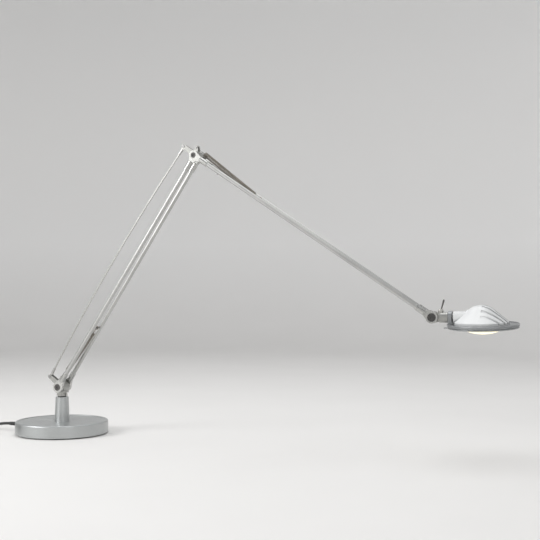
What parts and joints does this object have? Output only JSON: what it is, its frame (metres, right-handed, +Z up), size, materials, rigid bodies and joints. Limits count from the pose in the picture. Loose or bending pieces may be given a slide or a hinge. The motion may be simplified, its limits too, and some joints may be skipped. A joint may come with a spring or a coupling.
{
  "type": "spring balanced desk lamp",
  "caption": "Desk lamp with a round weighted base, two spring-balanced arms kept level by a tie rod, and a tilting flat head with a ribbed cover and a rocker lever switch.",
  "frame": {"origin": "middle of the foot pad's underside, on the axis that the arms swivel about", "axes": "+X from the stem towards the lamp head, +Y away from the viewer of the picture, +Z up"},
  "size_m": [1.062, 0.1734, 0.5107],
  "materials": {
    "satin_silver": "satin silver paint",
    "steel_plate": "plain zinc-plated steel",
    "pad_rubber": "matt black rubber",
    "ballast_iron": "rough cast iron",
    "transformer_case": "matt black moulding",
    "fastener_steel": "bright zinc",
    "bush_plastic": "matt black nylon",
    "cast_grey": "satin grey paint",
    "polished_metal": "polished die-cast metal",
    "tube_metal": "bright satin chrome tube",
    "rod_steel": "bright drawn steel",
    "spring_steel": "oiled spring steel",
    "nickel": "bright nickel",
    "head_grey": "satin grey paint",
    "cover_white": "gloss white paint",
    "lens_glass": "frosted glass",
    "reflector_aluminium": "bright anodised",
    "bulb_glass": "clear glass",
    "holder_ceramic": "unglazed ceramic",
    "cord_rubber": "satin black sheath",
    "plug_plastic": "satin black moulding",
    "plug_pin_nickel": "nickel-plated brass"
  },
  "bodies": {
    "base": {"base_shell": "satin_silver", "base_plate": "steel_plate", "foot_pad": "pad_rubber", "base_weight": "ballast_iron", "transformer": "transformer_case", "base_screws": "fastener_steel", "stem": "satin_silver", "stem_nut": "fastener_steel", "swivel_bush": "bush_plastic", "stop_pin": "fastener_steel", "strain_relief": "cord_rubber", "power_cord": "cord_rubber", "cord_coil": "cord_rubber", "plug_lead": "cord_rubber", "plug_body": "plug_plastic", "plug_pins": "plug_pin_nickel"},
    "swivel": {"swivel_head": "cast_grey", "swivel_clip": "fastener_steel", "hub_axle": "fastener_steel", "hub_cap_screws": "polished_metal", "base_lever_pins": "fastener_steel"},
    "lower_arm": {"lower_hub_end_near": "polished_metal", "lower_hub_end_far": "polished_metal", "lower_elbow_end_near": "polished_metal", "lower_elbow_end_far": "polished_metal", "lower_tube_near": "tube_metal", "lower_tube_far": "tube_metal", "lower_anchor_pin": "fastener_steel"},
    "tie_rod": {"tie_rod": "rod_steel", "tie_rod_ends": "polished_metal"},
    "elbow_crank": {"elbow_crank": "cast_grey", "elbow_axle": "fastener_steel", "elbow_cap_screws": "polished_metal", "elbow_lever_pins": "fastener_steel"},
    "upper_arm": {"upper_elbow_end_near": "polished_metal", "upper_elbow_end_far": "polished_metal", "upper_head_end_near": "polished_metal", "upper_head_end_far": "polished_metal", "upper_tube_near": "tube_metal", "upper_tube_far": "tube_metal", "upper_anchor_pin": "fastener_steel"},
    "lower_spring": {"lower_spring": "spring_steel", "lower_spring_hook": "spring_steel"},
    "lower_pull_rod": {"lower_pull_rod": "spring_steel"},
    "upper_spring": {"upper_spring": "spring_steel", "upper_spring_hook": "spring_steel"},
    "upper_pull_rod": {"upper_pull_rod": "spring_steel"},
    "head_knuckle": {"head_knuckle": "cast_grey", "roll_clip": "fastener_steel", "head_axle": "fastener_steel", "head_cap_screws": "polished_metal", "switch_bush": "nickel"},
    "switch_toggle": {"switch_toggle": "nickel"},
    "head": {"head_plate": "head_grey", "lens_frame": "head_grey", "head_cover": "cover_white", "lens": "lens_glass", "reflector": "reflector_aluminium", "bulb": "bulb_glass", "lamp_holder": "holder_ceramic"}
  },
  "joints": [
    {"name": "base_swivel", "type": "hinge", "parent": "base", "child": "swivel", "pos_m": [0, 0, 0.066], "axis": [0, 0, 1], "range_deg": [-160, 160]},
    {"name": "lower_arm_lift", "type": "hinge", "parent": "swivel", "child": "lower_arm", "pos_m": [0, 0, 0.0842], "axis": [0, 1, 0], "range_deg": [-28.5, 28.5]},
    {"name": "tie_rod_swing", "type": "hinge", "parent": "swivel", "child": "tie_rod", "pos_m": [-0.02396, 0, 0.10225], "axis": [0, 1, 0], "range_deg": [-28.6, 28.6]},
    {"name": "elbow_level", "type": "hinge", "parent": "lower_arm", "child": "elbow_crank", "pos_m": [0.26824, 0, 0.48947], "axis": [0, 1, 0], "range_deg": [-28.6, 28.6]},
    {"name": "upper_arm_lift", "type": "hinge", "parent": "elbow_crank", "child": "upper_arm", "pos_m": [0.26824, 0, 0.48947], "axis": [0, 1, 0], "range_deg": [-63.9, 16.1]},
    {"name": "lower_spring_swing", "type": "hinge", "parent": "lower_arm", "child": "lower_spring", "pos_m": [0.0712, 0, 0.19177], "axis": [0, 1, 0], "range_deg": [-2.8, 2.8]},
    {"name": "lower_spring_stretch", "type": "slide", "parent": "lower_spring", "child": "lower_pull_rod", "axis": [-0.6097, 0, -0.7927], "range_m": [-0.0044, 0.0044], "deforming": ["lower_spring"]},
    {"name": "upper_spring_swing", "type": "hinge", "parent": "upper_arm", "child": "upper_spring", "pos_m": [0.38444, 0, 0.41138], "axis": [0, 1, 0], "range_deg": [-1.7, 1.7]},
    {"name": "upper_spring_stretch", "type": "slide", "parent": "upper_spring", "child": "upper_pull_rod", "axis": [-0.7821, 0, 0.6231], "range_m": [-0.0147, 0.0038], "deforming": ["upper_spring"]},
    {"name": "head_tilt", "type": "hinge", "parent": "upper_arm", "child": "head_knuckle", "pos_m": [0.67495, 0, 0.21617], "axis": [0, 1, 0], "range_deg": [-45, 90]},
    {"name": "head_roll", "type": "hinge", "parent": "head_knuckle", "child": "head", "pos_m": [0.67495, 0, 0.21617], "axis": [0.9999, 0, 0.014], "range_deg": [-90, 90]},
    {"name": "switch_lever", "type": "hinge", "parent": "head_knuckle", "child": "switch_toggle", "pos_m": [0.68731, 0, 0.22595], "axis": [0, 1, 0], "range_deg": [-32, 0]}
  ],
  "couplings": [
    {"joint": "tie_rod_swing", "follows": "lower_arm_lift", "ratio": 1},
    {"joint": "elbow_level", "follows": "lower_arm_lift", "ratio": -1},
    {"joint": "lower_spring_swing", "follows": "lower_arm_lift", "ratio": 0.095},
    {"joint": "lower_spring_stretch", "follows": "lower_arm_lift", "m_per_rad": 0.008547},
    {"joint": "upper_spring_swing", "follows": "upper_arm_lift", "ratio": -0.025},
    {"joint": "upper_spring_stretch", "follows": "upper_arm_lift", "m_per_rad": 0.013035}
  ]
}
